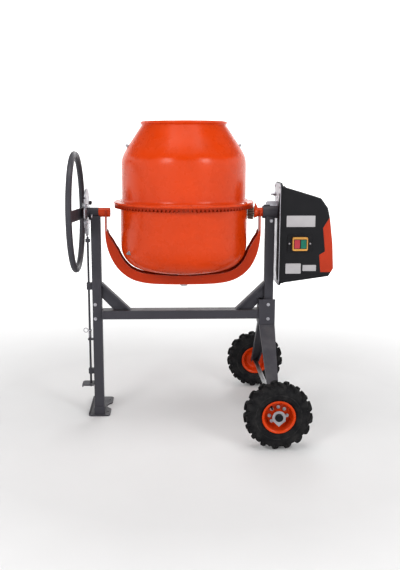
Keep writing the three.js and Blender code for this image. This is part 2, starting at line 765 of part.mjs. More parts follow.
function insetConvex(outline, depth) {
  const count = outline.length;
  return outline.map(([x, z], i) => {
    const [px, pz] = outline[(i + count - 1) % count];
    const [nx, nz] = outline[(i + 1) % count];
    const a = Math.hypot(x - px, z - pz);
    const b = Math.hypot(nx - x, nz - z);
    const first = [-(z - pz) / a, (x - px) / a];
    const second = [-(nz - z) / b, (nx - x) / b];
    const share = depth / (1 + first[0] * second[0] + first[1] * second[1]);
    return [x + share * (first[0] + second[0]), z + share * (first[1] + second[1])];
  });
}

function housingShell() {
  const shape = new THREE.Shape(insetConvex(HOUSING_SIDE, 10).map(([u, v]) => new THREE.Vector2(u, v)));
  const body = new THREE.ExtrudeGeometry(shape, {
    depth: 2 * HOUSING_HALF - 20, bevelThickness: 10, bevelSize: 10, bevelSegments: 3,
  });
  body.translate(0, 0, -(HOUSING_HALF - 10)).applyMatrix4(PLANES.xz);
  const rim = prism(roundedRect(-90, 90, 640, 1108, 24, 3), "yz", BACKPLATE_X + 4 + GAP, 441);
  const neck = prism(roundedRect(-84, 84, 649.5, 1093, 16, 3), "yz", 440, 455);
  const throat = prism(roundedRect(-80, 80, 653.5, 1089, 13, 3), "yz", 430, 450);
  const hollow = prism(insetConvex(HOUSING_SIDE, 4), "xz", -HOUSING_HALF + 4, HOUSING_HALF - 4);
  return cut(join(body, rim, neck), throat, hollow);
}

function motorHousing(shell) {
  return cut(shell, prism(COVER_SIDE, "xz", -200, 200));
}

function endCover(shell) {
  const inset = [
    [656, 950.6], [628.5, 906], [640.5, 798.8], [614.6, 782.8], [622.4, 703.4], [720, 703.4], [720, 950.6],
  ];
  const slots = [];
  for (let i = 0; i < 6; i += 1) {
    slots.push(block(655, 700, -46, 46, 740 + i * 18, 747 + i * 18));
  }
  return cut(common(shell, prism(inset, "xz", -200, 200)), ...slots);
}

// ---- Switch and inlet ----

const SWITCH_Y = -HOUSING_HALF - GAP;

function switchPlate() {
  return prism(roundedRect(468, 580, 798, 876, 8), "xz", SWITCH_Y - 4, SWITCH_Y);
}

function switchBezel() {
  const back = SWITCH_Y - 4 - GAP;
  const frame = prism(roundedRect(489, 558, 804, 866, 6), "xz", back - 16, back);
  const left = block(496, 522, back - 20, back - 5, 815, 855);
  const right = block(525, 551, back - 20, back - 5, 815, 855);
  return cut(frame, left, right);
}

function pushButton(x0) {
  const back = SWITCH_Y - 4 - GAP;
  return prism(roundedRect(x0 + 0.5, x0 + 25.5, 815.5, 854.5, 3), "xz", back - 19, back - 9);
}

function powerInlet() {
  const profile = [[0, 84.3], [17, 84.3], [17, 88], [13, 90], [13, 104], [9, 104], [9, 92], [0, 92]];
  return turned(profile, 20, "y").translate(520, 0, 745);
}

// ---- Wheels ----

function tyre(side) {
  const profile = [
    [64.4, -28.9], [64.4, 28.9], [71.4, 28.9], [86, 36.5], [125, 34], [TYRE_R, 15],
    [TYRE_R, -15], [125, -34], [86, -36.5], [71.4, -28.9], [64.4, -28.9],
  ];
  let body = solid(turned(profile, 32, "y"));
  for (let i = 0; i < LUGS_PER_SIDE; i += 1) {
    for (const half of [-1, 1]) {
      const lug = new THREE.BoxGeometry(15, 34, 20).rotateZ((half * 28 * Math.PI) / 180);
      lug.translate(0, half * 17.5, LUG_TOP - 10);
      const turn = ((i + (half > 0 ? 0.5 : 0)) * 2 * Math.PI) / LUGS_PER_SIDE;
      body = body.add(solid(lug.rotateY(Math.PI + turn)));
    }
  }
  return fromSolid(body).translate(AXLE_X, side * WHEEL_Y, AXLE_Z);
}

function wheelRim(side) {
  const profile = [
    [11.4, -34], [20, -34], [22, -10], [47, -12], [59, -31], [70, -35], [71, -29.4],
    [64, -29.3], [64, 29.3], [71, 29.4], [70, 35], [59, 31], [59, -17], [47, -6], [22, -4],
    [20, 34], [11.4, 34], [11.4, -34],
  ];
  const body = turned(profile, 24, "y");
  const facing = side > 0 ? body.rotateX(Math.PI) : body;
  return facing.translate(AXLE_X, side * WHEEL_Y, AXLE_Z);
}

function hubWasher(side) {
  const y = WHEEL_Y + 34 + GAP;
  const outline = [...arc(0, 0, 29, -50, 230, 16), [0, -40]];
  const disc = prism(outline, "xz", -1.5, 1.5);
  const holed = cut(disc, rod(AXLE_R + GAP, -5, 5, 20, "y"));
  return holed.translate(AXLE_X, side * (y + 1.5), AXLE_Z);
}

function axleCap(side) {
  const profile = [[11.3, 0], [17, 0], [17, 5], [14, 8.5], [0, 8.5], [0, 4.2], [11.3, 4.2], [11.3, 0]];
  const cap = turned(profile, 20, "y");
  const facing = side > 0 ? cap : cap.rotateX(Math.PI);
  return facing.translate(AXLE_X, side * (WHEEL_Y + 34 + GAP + 3 + GAP), AXLE_Z);
}

// ---- Assembly ----

add("foot_plate", footPlate(), GREY);
add("left_post", postLeft(), GREY);
add("right_post", postRight(), GREY);
add("cross_beam", crossBeam(), GREY);
add("left_brace", brace(POST_LEFT_X + POST_HALF + GAP, -1), GREY);
add("right_brace", brace(POST_RIGHT_X - 21 - GAP, 1), GREY);
add("leg_bracket", legBracket(), GREY);
add("front_leg", wheelLeg(-1), GREY);
add("rear_leg", wheelLeg(1), GREY);
add("wheel_axle", axle(), STEEL);
add("left_bearing", bearingLeft(), GREY);
add("right_bearing", bearingRight(), GREY);

add("lock_rod", lockRod(), ZINC);
add("lock_pawl", lockPawl(), GREY);
add("rod_collar", rodCollar(), ZINC);
add("return_spring", returnSpring(), ZINC);
add("foot_pedal", footPedal(), GREY);

add("tilt_yoke", tiltYoke(), ORANGE);
add("left_trunnion", trunnionLeft(), ORANGE);
add("right_trunnion", trunnionRight(), ORANGE);
add("drum_spindle", drumSpindle(), STEEL);
add("thrust_bearing", pipe(17.4, 27, 656, 663.7, 24, "z"), STEEL);
add("lock_disc", lockDisc(), ZINC);
add("handwheel_ring", handwheelRing(), GREY);
add("handwheel_spokes", handwheelSpokes(), GREY);
add("handwheel_bolt", handwheelBolt(), ZINC);

add("drum_lower", drumLower(), ORANGE);
add("drum_upper", drumUpper(), ORANGE);
add("ring_gear", ringGear(), ORANGE);
add("drum_boss", drumBoss(), ORANGE);
add("mixing_blade_left", mixingBlade(-1), ORANGE);
add("mixing_blade_right", mixingBlade(1), ORANGE);
add("blade_bolt_top_left", wallBolt(250.7, 1269, 0.576, 180 + TOP_BOLT_DEG), ZINC);
add("blade_bolt_top_right", wallBolt(250.7, 1269, 0.576, TOP_BOLT_DEG), ZINC);
add("blade_bolt_low_left", wallBolt(286.2, 804.5, -0.245, 180 + LOW_BOLT_DEG), ZINC);
add("blade_bolt_low_right", wallBolt(286.2, 804.5, -0.245, LOW_BOLT_DEG), ZINC);

add("pinion_gear", pinionGear(), IRON);
add("pinion_shaft", pinionShaft(), STEEL);
add("driven_pulley", vPulley(PULLEY_R, PULLEY_R - 6, 12.3, TILT_Z), IRON);
add("drive_belt", driveBelt(), RUBBER);
add("motor_pulley", motorPulley(), STEEL);
add("cooling_fan", coolingFan(), BLACK);
add("electric_motor", electricMotor(), ZINC);
add("run_capacitor", runCapacitor(), BLACK);
add("motor_backplate", motorBackplate(), ZINC);
const shell = housingShell();
add("motor_housing", motorHousing(shell), BLACK);
add("end_cover", endCover(shell), ORANGE);
add("switch_plate", switchPlate(), BLACK);
add("switch_bezel", switchBezel(), { color: 0xe2a93c, roughness: 0.4, metalness: 0 });
add("stop_button", pushButton(496), { color: 0xbe3c46, roughness: 0.4, metalness: 0 });
add("start_button", pushButton(525), { color: 0x147d5f, roughness: 0.4, metalness: 0 });
add("power_inlet", powerInlet(), BLACK);

add("front_tyre", tyre(-1), RUBBER);
add("rear_tyre", tyre(1), RUBBER);
add("front_rim", wheelRim(-1), ORANGE);
add("rear_rim", wheelRim(1), ORANGE);
add("front_hub_washer", hubWasher(-1), ZINC);
add("rear_hub_washer", hubWasher(1), ZINC);
add("front_axle_cap", axleCap(-1), BLACK);
add("rear_axle_cap", axleCap(1), BLACK);

export default root;
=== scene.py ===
import bpy
import bmesh
import json
import math
from mathutils import Matrix, Vector


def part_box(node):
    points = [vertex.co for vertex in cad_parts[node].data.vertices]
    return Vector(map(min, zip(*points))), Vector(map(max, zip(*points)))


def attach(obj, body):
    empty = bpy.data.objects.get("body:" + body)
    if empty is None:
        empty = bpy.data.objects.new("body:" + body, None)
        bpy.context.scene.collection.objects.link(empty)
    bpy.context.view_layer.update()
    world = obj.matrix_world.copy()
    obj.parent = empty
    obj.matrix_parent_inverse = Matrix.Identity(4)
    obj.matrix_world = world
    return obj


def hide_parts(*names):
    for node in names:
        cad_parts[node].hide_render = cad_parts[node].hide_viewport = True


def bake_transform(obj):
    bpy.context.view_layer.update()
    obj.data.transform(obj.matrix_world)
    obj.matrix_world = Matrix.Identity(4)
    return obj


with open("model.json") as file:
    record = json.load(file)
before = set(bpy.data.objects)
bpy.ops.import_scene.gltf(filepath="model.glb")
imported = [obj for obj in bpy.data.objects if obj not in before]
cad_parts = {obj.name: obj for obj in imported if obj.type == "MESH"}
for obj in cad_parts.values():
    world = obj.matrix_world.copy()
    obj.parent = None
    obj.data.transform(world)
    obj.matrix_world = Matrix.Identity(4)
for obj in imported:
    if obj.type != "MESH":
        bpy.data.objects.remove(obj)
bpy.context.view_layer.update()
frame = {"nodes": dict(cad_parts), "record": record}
nodes = frame["nodes"]
scene = bpy.context.scene

MM = 0.001
MOTOR_ARM_IN = 8
MOTOR_ARM_BEND_Z = 700
MOTOR_ARM_BEND_RISE = 130


def centre(node):
    low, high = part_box(node)
    return (low + high) / 2


DRUM_X = centre("drum_upper").x
TILT_Z = centre("handwheel_ring").z
AXLE = centre("wheel_axle")
LEFT_ROD_X = centre("lock_rod").x
LEFT_POST_X = centre("left_post").x
FRONT_WHEEL_Y = centre("front_rim").y
REAR_WHEEL_Y = centre("rear_rim").y


# ---- Camera, floor and light ----

def look_from(obj, place, target):
    obj.location = place
    obj.rotation_euler = (Vector(target) - Vector(place)).to_track_quat("-Z", "Y").to_euler()


def make_camera():
    data = bpy.data.cameras.new("camera")
    data.sensor_fit = "AUTO"
    data.sensor_width = 36
    data.lens = 46.67
    data.shift_x = 0.026
    data.clip_start = 0.05
    data.clip_end = 100
    camera = bpy.data.objects.new("camera", data)
    camera.location = (-0.167, -3.400, 1.275)
    camera.rotation_euler = (math.radians(90 - 10.73), 0, math.radians(-1.45))
    scene.collection.objects.link(camera)
    scene.camera = camera


def area_light(name, place, target, width, height, power, colour=(1, 1, 1)):
    data = bpy.data.lights.new(name, "AREA")
    data.shape = "RECTANGLE"
    data.size = width
    data.size_y = height
    data.energy = power
    data.color = colour
    light = bpy.data.objects.new(name, data)
    look_from(light, place, target)
    scene.collection.objects.link(light)


def make_lights():
    area_light("softbox_left", (-2.3, -3.6, 2.7), (0, 0, 0.95), 1.3, 1.5, 52)
    area_light("softbox_right", (2.6, -3.4, 2.6), (0, 0, 0.95), 1.3, 1.5, 48)
    area_light("overhead", (0, -0.4, 4.6), (0, 0, 0.6), 3.2, 2.6, 70)
    area_light("back_wash", (0.4, 3.8, 3.0), (0, 0, 0.6), 2.6, 1.6, 55)
    world = bpy.data.worlds.new("studio")
    world.use_nodes = True
    world.node_tree.nodes["Background"].inputs["Color"].default_value = (1, 1, 1, 1)
    world.node_tree.nodes["Background"].inputs["Strength"].default_value = 0.20
    scene.world = world
    scene.view_settings.view_transform = "Standard"
    scene.view_settings.look = "Medium High Contrast"


# ---- Materials ----

class Graph:
    """A material's node tree, with the few nodes that the finishes need."""

    def __init__(self, name):
        self.material = bpy.data.materials.new(name)
        self.material.use_nodes = True
        self.tree = self.material.node_tree
        self.tree.nodes.clear()
        self.shader = self.node("ShaderNodeBsdfPrincipled")
        output = self.node("ShaderNodeOutputMaterial")
        self.link(self.shader.outputs[0], output.inputs[0])
        self.place = self.node("ShaderNodeTexCoord").outputs["Object"]
        self.height = None

    def node(self, kind):
        return self.tree.nodes.new(kind)

    def link(self, source, target):
        self.tree.links.new(source, target)

    def stretched(self, x, y, z):
        node = self.node("ShaderNodeMapping")
        node.inputs["Scale"].default_value = (x, y, z)
        self.link(self.place, node.inputs["Vector"])
        return node.outputs[0]

    def noise(self, scale, detail=4, roughness=0.55, distortion=0.0, vector=None):
        node = self.node("ShaderNodeTexNoise")
        node.inputs["Scale"].default_value = scale
        node.inputs["Detail"].default_value = detail
        node.inputs["Roughness"].default_value = roughness
        node.inputs["Distortion"].default_value = distortion
        self.link(vector or self.place, node.inputs["Vector"])
        return node.outputs[0]

    def cells(self, scale, feature="F1", output="Distance"):
        node = self.node("ShaderNodeTexVoronoi")
        node.feature = feature
        node.inputs["Scale"].default_value = scale
        self.link(self.place, node.inputs["Vector"])
        return node.outputs[output]

    def remap(self, value, low, high, to_low=0.0, to_high=1.0):
        node = self.node("ShaderNodeMapRange")
        node.inputs["From Min"].default_value = low
        node.inputs["From Max"].default_value = high
        node.inputs["To Min"].default_value = to_low
        node.inputs["To Max"].default_value = to_high
        self.link(value, node.inputs["Value"])
        return node.outputs[0]

    def math(self, operation, a, b):
        node = self.node("ShaderNodeMath")
        node.operation = operation
        for socket, value in zip(node.inputs, (a, b)):
            if isinstance(value, (int, float)):
                socket.default_value = value
            else:
                self.link(value, socket)
        return node.outputs[0]

    def mix(self, factor, a, b):
        node = self.node("ShaderNodeMix")
        node.data_type = "RGBA"
        self.link(factor, node.inputs[0])
        for socket, value in ((node.inputs[6], a), (node.inputs[7], b)):
            if isinstance(value, tuple):
                socket.default_value = (*value, 1)
            else:
                self.link(value, socket)
        return node.outputs[2]

    def edges(self, radius):
        """1 along worn edges, and 0 on flat metal."""
        bevel = self.node("ShaderNodeBevel")
        bevel.samples = 4
        bevel.inputs["Radius"].default_value = radius
        flat = self.node("ShaderNodeNewGeometry")
        dot = self.node("ShaderNodeVectorMath")
        dot.operation = "DOT_PRODUCT"
        self.link(bevel.outputs[0], dot.inputs[0])
        self.link(flat.outputs["Normal"], dot.inputs[1])
        return self.remap(dot.outputs["Value"], 0.985, 0.90)

    def upward(self, low=0.3, high=1.0):
        flat = self.node("ShaderNodeNewGeometry")
        split = self.node("ShaderNodeSeparateXYZ")
        self.link(flat.outputs["Normal"], split.inputs[0])
        return self.remap(split.outputs[2], low, high)

    def bump(self, value, strength, distance):
        node = self.node("ShaderNodeBump")
        node.inputs["Strength"].default_value = strength
        node.inputs["Distance"].default_value = distance
        self.link(value, node.inputs["Height"])
        if self.height is not None:
            self.link(self.height, node.inputs["Normal"])
        self.height = node.outputs[0]
        self.link(self.height, self.shader.inputs["Normal"])

    def set(self, **values):
        names = {
            "colour": "Base Color", "rough": "Roughness", "metal": "Metallic",
            "coat": "Coat Weight", "coat_rough": "Coat Roughness", "specular": "Specular IOR Level",
        }
        for key, value in values.items():
            socket = self.shader.inputs[names[key]]
            if isinstance(value, (int, float)):
                socket.default_value = value
            elif isinstance(value, tuple):
                socket.default_value = (*value, 1)
            else:
                self.link(value, socket)


def shade(colour, factor):
    return tuple(min(1.0, c * factor) for c in colour)


def enamel(name, colour, worn, rough, coat, specular, wear=0.35, dust=0.05):
    """Sprayed paint: orange peel, faint blotches, fine scratches, edges rubbed thin and a little dust."""
    g = Graph(name)
    blotch = g.remap(g.noise(5.5, 5), 0.35, 0.65)
    base = g.mix(blotch, shade(colour, 0.93), shade(colour, 1.05))
    streak = g.noise(1.0, 3, 0.6, 0.2, g.stretched(60, 60, 7))
    base = g.mix(g.remap(streak, 0.62, 0.72, 0.0, 0.16), base, shade(colour, 0.72))
    rubbed = g.math("MULTIPLY", g.edges(0.0016), g.remap(g.noise(34, 5), 0.46, 0.58, 0.0, wear))
    base = g.mix(rubbed, base, worn)
    settled = g.math("MULTIPLY", g.upward(), g.remap(g.noise(14, 6), 0.38, 0.70, 0.0, dust))
    base = g.mix(settled, base, (0.62, 0.58, 0.54))
    scratch = g.noise(1.0, 2, 0.5, 0.0, g.stretched(420, 420, 26))
    marks = g.remap(scratch, 0.66, 0.74)
    level = g.remap(g.noise(22, 4), 0.3, 0.7, rough - 0.05, rough + 0.08)
    level = g.math("ADD", level, g.math("MULTIPLY", marks, 0.10))
    level = g.math("ADD", level, g.math("MULTIPLY", settled, 0.8))
    g.set(colour=base, rough=level, metal=0.0, coat=coat, coat_rough=0.16, specular=specular)
    g.bump(g.noise(430, 2, 0.5), 0.10, 0.0004)
    g.bump(g.noise(9, 3), 0.12, 0.0016)
    return g.material


def zinc(name, colour, rough, spangle=38.0):
    """Zinc-plated or galvanised steel, with crystals that catch the light at different strengths."""
    g = Graph(name)
    cell = g.cells(spangle, output="Color")
    split = g.node("ShaderNodeSeparateXYZ")
    g.link(cell, split.inputs[0])
    tint = g.remap(split.outputs[0], 0, 1)
    base = g.mix(tint, shade(colour, 0.86), shade(colour, 1.08))
    smear = g.remap(g.noise(16, 5), 0.42, 0.66, 0.0, 0.35)
    base = g.mix(smear, base, shade(colour, 0.66))
    level = g.remap(split.outputs[1], 0, 1, rough - 0.06, rough + 0.10)
    g.set(colour=base, rough=level, metal=0.85)
    g.bump(g.noise(260, 3), 0.08, 0.0003)
    return g.material


def machined(name, colour, rough, axis):
    """Turned or drawn steel with fine lines along one axis."""
    g = Graph(name)
    scale = [900, 900, 900]
    scale[axis] = 18
    grain = g.noise(1.0, 3, 0.6, 0.0, g.stretched(*scale))
    stain = g.remap(g.noise(20, 5), 0.45, 0.70, 0.0, 0.5)
    base = g.mix(stain, colour, shade(colour, 0.55))
    g.set(colour=base, rough=g.remap(grain, 0.3, 0.7, rough - 0.08, rough + 0.12), metal=0.95)
    g.bump(grain, 0.12, 0.0002)
    return g.material


def cast(name, colour):
    g = Graph(name)
    pits = g.noise(240, 6, 0.65)
    rust = g.remap(g.noise(30, 6), 0.48, 0.66, 0.0, 0.6)
    base = g.mix(rust, colour, (0.24, 0.10, 0.045))
    polished = g.math("MULTIPLY", g.edges(0.0015), g.remap(g.noise(60, 3), 0.3, 0.6, 0.3, 0.9))
    base = g.mix(polished, base, (0.46, 0.44, 0.42))
    g.set(colour=base, rough=g.remap(pits, 0.3, 0.7, 0.42, 0.72), metal=0.6)
    g.bump(pits, 0.5, 0.0006)
    return g.material


def plastic(name, colour, rough, grain, depth, dust=0.03, specular=0.22):
    """Moulded plastic with a spark-eroded grain, and rubbed edges a shade lighter."""
    g = Graph(name)
    leather = g.cells(grain, "SMOOTH_F1")
    fine = g.noise(grain * 2.2, 3)
    cloud = g.remap(g.noise(7, 4), 0.35, 0.65)
    base = g.mix(cloud, shade(colour, 0.90), shade(colour, 1.08))
    rubbed = g.math("MULTIPLY", g.edges(0.0014), 0.35)
    base = g.mix(rubbed, base, tuple(min(1.0, c * 1.35 + 0.015) for c in colour))
    settled = g.math("MULTIPLY", g.upward(), g.remap(g.noise(18, 6), 0.40, 0.70, 0.0, dust))
    base = g.mix(settled, base, (0.55, 0.53, 0.50))
    level = g.remap(g.noise(28, 4), 0.3, 0.7, rough - 0.06, rough + 0.08)
    g.set(colour=base, rough=level, metal=0.0, specular=specular)
    g.bump(leather, depth, 0.0006)
    g.bump(fine, depth * 0.5, 0.0003)
    return g.material


def rubber(name, colour, dust=0.22):
    g = Graph(name)
    scuff = g.remap(g.noise(26, 6, 0.65), 0.42, 0.68, 0.0, dust)
    base = g.mix(scuff, colour, (0.12, 0.115, 0.108))
    worn = g.math("MULTIPLY", g.edges(0.0025), g.remap(g.noise(48, 4), 0.4, 0.65, 0.0, 0.5))
    base = g.mix(worn, base, (0.085, 0.083, 0.082))
    g.set(colour=base, rough=g.remap(g.noise(60, 4), 0.3, 0.7, 0.62, 0.86), metal=0.0, specular=0.18)
    g.bump(g.noise(520, 4, 0.7), 0.30, 0.0005)
    g.bump(g.noise(70, 3), 0.18, 0.0008)
    return g.material


ORANGE_RGB = (0.52, 0.046, 0.001)
GREY_RGB = (0.052, 0.051, 0.060)
ZINC_RGB = (0.42, 0.415, 0.445)

finishes = {
    "orange_paint": enamel("orange_enamel", ORANGE_RGB, (0.36, 0.13, 0.07), 0.27, 0.08, 0.24),
    "orange_plastic": plastic("orange_plastic", (0.38, 0.036, 0.010), 0.46, 620, 0.10),
    "grey_paint": enamel("grey_powder_coat", GREY_RGB, (0.20, 0.20, 0.21), 0.46, 0.0, 0.20,
                         wear=0.4, dust=0.08),
    "zinc_plate": zinc("zinc_plate", ZINC_RGB, 0.38),
    "bare_steel": machined("machined_steel", (0.40, 0.40, 0.41), 0.32, 0),
    "cast_iron": cast("cast_iron", (0.115, 0.085, 0.070)),
    "black_plastic": plastic("black_plastic", (0.0085, 0.0085, 0.0105), 0.50, 900, 0.22),
    "tyre_rubber": rubber("tyre_rubber", (0.0085, 0.0085, 0.0098), 0.16),
    "belt_rubber": rubber("belt_rubber", (0.012, 0.012, 0.012), 0.1),
    "yellow_plastic": plastic("yellow_plastic", (0.50, 0.26, 0.065), 0.36, 900, 0.06, 0.02),
    "red_plastic": plastic("red_plastic", (0.36, 0.040, 0.055), 0.34, 900, 0.06, 0.02),
    "green_plastic": plastic("green_plastic", (0.012, 0.135, 0.090), 0.34, 900, 0.06, 0.02),
    "label": plastic("blank_label", (0.36, 0.35, 0.36), 0.45, 500, 0.04, 0.02),
}


# Painted shade: a darker copy of the orange enamel, used on the ring gear so its teeth read darker, as if in
# shade.
finishes["painted_shade_orange"] = enamel(
    "orange_enamel_in_shade", (0.27, 0.020, 0.001), (0.30, 0.10, 0.06), 0.36, 0.0, 0.14)


def finish(obj, slot):
    obj.data.materials.clear()
    obj.data.materials.append(finishes[slot])
    return obj


# ---- Mesh helpers ----

def soften(obj, angle=38):
    obj.data.shade_smooth()
    obj.data.set_sharp_from_angle(angle=math.radians(angle))
    return obj


def mesh_object(name, vertices, faces, angle=38):
    mesh = bpy.data.meshes.new(name)
    mesh.from_pydata([tuple(v) for v in vertices], [], faces)
    shape = bmesh.new()
    shape.from_mesh(mesh)
    bmesh.ops.remove_doubles(shape, verts=shape.verts, dist=1e-6)
    bmesh.ops.recalc_face_normals(shape, faces=shape.faces)
    shape.to_mesh(mesh)
    shape.free()
    obj = bpy.data.objects.new(name, mesh)
    scene.collection.objects.link(obj)
    return soften(obj, angle)


def merged(name, parts, angle=38):
    """One object from several (vertices, faces) lists."""
    vertices = []
    faces = []
    for points, polygons in parts:
        start = len(vertices)
        vertices.extend(points)
        faces.extend([tuple(i + start for i in polygon) for polygon in polygons])
    return mesh_object(name, vertices, faces, angle)


def moved(part, matrix):
    vertices, faces = part
    return [matrix @ Vector(v) for v in vertices], faces


def bevelled(obj, width, segments=2, angle=40):
    modifier = obj.modifiers.new("edges", "BEVEL")
    modifier.width = width
    modifier.segments = segments
    modifier.limit_method = "ANGLE"
    modifier.angle_limit = math.radians(angle)
    modifier.harden_normals = True
    return obj


def rounded(points, steps=5):
    """A closed outline in which each corner with a third number is cut back by it and curved."""
    outline = []
    count = len(points)
    for i, point in enumerate(points):
        here = Vector(point[:2])
        if len(point) < 3:
            outline.append(tuple(here))
            continue
        before = Vector(points[i - 1][:2]) - here
        after = Vector(points[(i + 1) % count][:2]) - here
        first = here + before.normalized() * min(point[2], before.length * 0.49)
        last = here + after.normalized() * min(point[2], after.length * 0.49)
        for k in range(steps + 1):
            t = k / steps
            outline.append(tuple(first.lerp(here, t).lerp(here.lerp(last, t), t)))
    return outline


AXES = {
    "z": Matrix.Identity(3),
    "x": Matrix(((0, 0, 1), (1, 0, 0), (0, 1, 0))),
    "y": Matrix(((1, 0, 0), (0, 0, -1), (0, 1, 0))),
}


def lathe(outline, segments, axis="z"):
    """A closed outline of (radius, height) turned about an axis through the origin."""
    turn = AXES[axis]
    vertices = []
    for k in range(segments):
        angle = 2 * math.pi * k / segments
        for radius, height in outline:
            vertices.append(turn @ Vector((radius * math.cos(angle), radius * math.sin(angle), height)))
    count = len(outline)
    faces = []
    for k in range(segments):
        a = k * count
        b = ((k + 1) % segments) * count
        for i in range(count):
            j = (i + 1) % count
            faces.append((a + i, b + i, b + j, a + j))
    return vertices, faces


def tube(path, radius, sides=12, closed=False, radii=None):
    """A round wire along a path, with flat ends unless it closes on itself."""
    points = [Vector(p) for p in path]
    count = len(points)
    vertices = []
    side = None
    for i, point in enumerate(points):
        before = points[i - 1] if closed or i else point
        after = points[(i + 1) % count] if closed or i + 1 < count else point
        along = (after - before).normalized()
        if side is None:
            side = along.orthogonal().normalized()
        side = (side - along * side.dot(along)).normalized()
        other = along.cross(side)
        size = radii[i] if radii else radius
        for k in range(sides):
            angle = 2 * math.pi * k / sides
            vertices.append(point + (side * math.cos(angle) + other * math.sin(angle)) * size)
    faces = []
    for i in range(count if closed else count - 1):
        a = i * sides
        b = ((i + 1) % count) * sides
        for k in range(sides):
            j = (k + 1) % sides
            faces.append((a + k, a + j, b + j, b + k))
    if not closed:
        faces.append(tuple(range(sides - 1, -1, -1)))
        faces.append(tuple(range((count - 1) * sides, count * sides)))
    return vertices, faces


def slab(outline, low, high):
    """A flat outline in XY pushed from one height to another."""
    count = len(outline)
    vertices = [(x, y, low) for x, y in outline] + [(x, y, high) for x, y in outline]
    faces = [tuple(range(count - 1, -1, -1)), tuple(range(count, 2 * count))]
    for i in range(count):
        j = (i + 1) % count
        faces.append((i, j, count + j, count + i))
    return vertices, faces


def bolt_parts(size, washer=True, nut=False):
    """A hexagon head with a chamfered crown, on a washer; size is the distance across the corners."""
    radius = size / 2
    rise = 0.0
    parts = []
    if washer:
        rise = size * 0.13
        parts.append(lathe(rounded([
            (radius * 0.3, 0), (radius * 1.28, 0, size * 0.03), (radius * 1.28, rise, size * 0.04),
            (radius * 0.3, rise),
        ], 3), 28))
    crown = rise + size * 0.40
    rings = [
        (radius, rise), (radius, crown - size * 0.07), (radius * 0.86, crown),
    ]
    vertices = []
    for k, (r, z) in enumerate(rings):
        for i in range(24):
            angle = 2 * math.pi * i / 24
            flat = r * math.cos(math.pi / 6) / math.cos((angle % (math.pi / 3)) - math.pi / 6)
            reach = flat if k < 2 else r
            vertices.append((reach * math.cos(angle), reach * math.sin(angle), z))
    faces = []
    for k in range(2):
        for i in range(24):
            j = (i + 1) % 24
            faces.append((k * 24 + i, k * 24 + j, k * 24 + 24 + j, k * 24 + 24 + i))
    faces.append(tuple(range(23, -1, -1)))
    faces.append(tuple(range(48, 72)))
    parts.append((vertices, faces))
    if nut:
        parts.append(lathe(rounded([
            (0.0001, crown - size * 0.1), (radius * 0.5, crown - size * 0.1),
            (radius * 0.5, crown + size * 0.16, size * 0.05), (0.0001, crown + size * 0.16),
        ], 3), 20))
    return parts


def dome_parts(size):
    """A round screw head with a cross recess suggested by a shallow dish."""
    r = size / 2
    outline = [
        (0.0001, 0), (r, 0), (r, r * 0.18), (r * 0.92, r * 0.38), (r * 0.70, r * 0.56), (r * 0.42, r * 0.64),
        (r * 0.34, r * 0.58), (r * 0.22, r * 0.36), (0.0001, r * 0.34),
    ]
    return [lathe(outline, 20)]


def facing(place, normal, spin=0.0):
    matrix = Vector(normal).to_track_quat("Z", "Y").to_matrix().to_4x4()
    return Matrix.Translation(Vector(place)) @ matrix @ Matrix.Rotation(spin, 4, "Z")


def fasteners(name, body, slot, places, parts, angle=30):
    """Copies of one fastener, at places of (point, outward normal, spin), as a single piece."""
    collected = []
    for place, normal, spin in places:
        matrix = facing(place, normal, spin)
        collected.extend(moved(part, matrix) for part in parts)
    obj = merged(name, collected, angle)
    finish(obj, slot)
    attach(obj, body)
    return obj


def piece(obj, slot, body, *replaced):
    finish(obj, slot)
    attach(obj, body)
    if replaced:
        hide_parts(*replaced)
    return obj


def scaled(points, factor=MM):
    return [tuple(c * factor for c in point) for point in points]


def smooth_path(points, steps=8):
    """A Catmull-Rom curve through the points."""
    dense = []
    last = len(points) - 1
    for i in range(last):
        p0, p1, p2, p3 = (Vector(points[max(0, min(last, i + k))]) for k in (-1, 0, 1, 2))
        for s in range(steps):
            t = s / steps
            dense.append(0.5 * (
                2 * p1 + (p2 - p0) * t + (2 * p0 - 5 * p1 + 4 * p2 - p3) * t * t
                + (3 * p1 - p0 - 3 * p2 + p3) * t ** 3))
    dense.append(Vector(points[last]))
    return dense


# ---- CAD nodes that keep their shape ----

def dress_nodes():
    """Every CAD node gets its finish, rolled edges and even normals."""
    slots = {part["node"]: part["material_slot"] for part in frame["record"]["subparts"]}
    wide = {"motor_housing": 5.0, "end_cover": 2.0, "switch_plate": 1.2, "switch_bezel": 1.6,
            "stop_button": 1.4, "start_button": 1.4, "foot_plate": 1.4, "foot_pedal": 1.6,
            "cross_beam": 1.0, "left_post": 0.8, "right_post": 1.0, "leg_bracket": 1.0,
            "ring_gear": 0.5, "pinion_gear": 0.6, "handwheel_spokes": 1.2, "tilt_yoke": 1.0}
    for name, node in nodes.items():
        # The ring gear takes the darker copy of the orange enamel, which is painted shade.
        finish(node, "painted_shade_orange" if name == "ring_gear" else slots[name])
        custom = node.data.attributes.get("custom_normal")
        if custom is not None:
            node.data.attributes.remove(custom)
        node.data.shade_smooth()
        weld = node.modifiers.new("weld", "WELD")
        weld.merge_threshold = 0.00001
        edge = node.modifiers.new("edges", "BEVEL")
        edge.width = wide.get(name, 0.6) * MM
        edge.segments = 2
        edge.limit_method = "ANGLE"
        edge.angle_limit = math.radians(32)
        edge.use_clamp_overlap = True
        even = node.modifiers.new("even_normals", "WEIGHTED_NORMAL")
        even.mode = "FACE_AREA"
        even.weight = 80
        even.keep_sharp = False


# ---- Drum ----

def about_drum(part):
    return moved(part, Matrix.Translation((DRUM_X, 0, 0)))


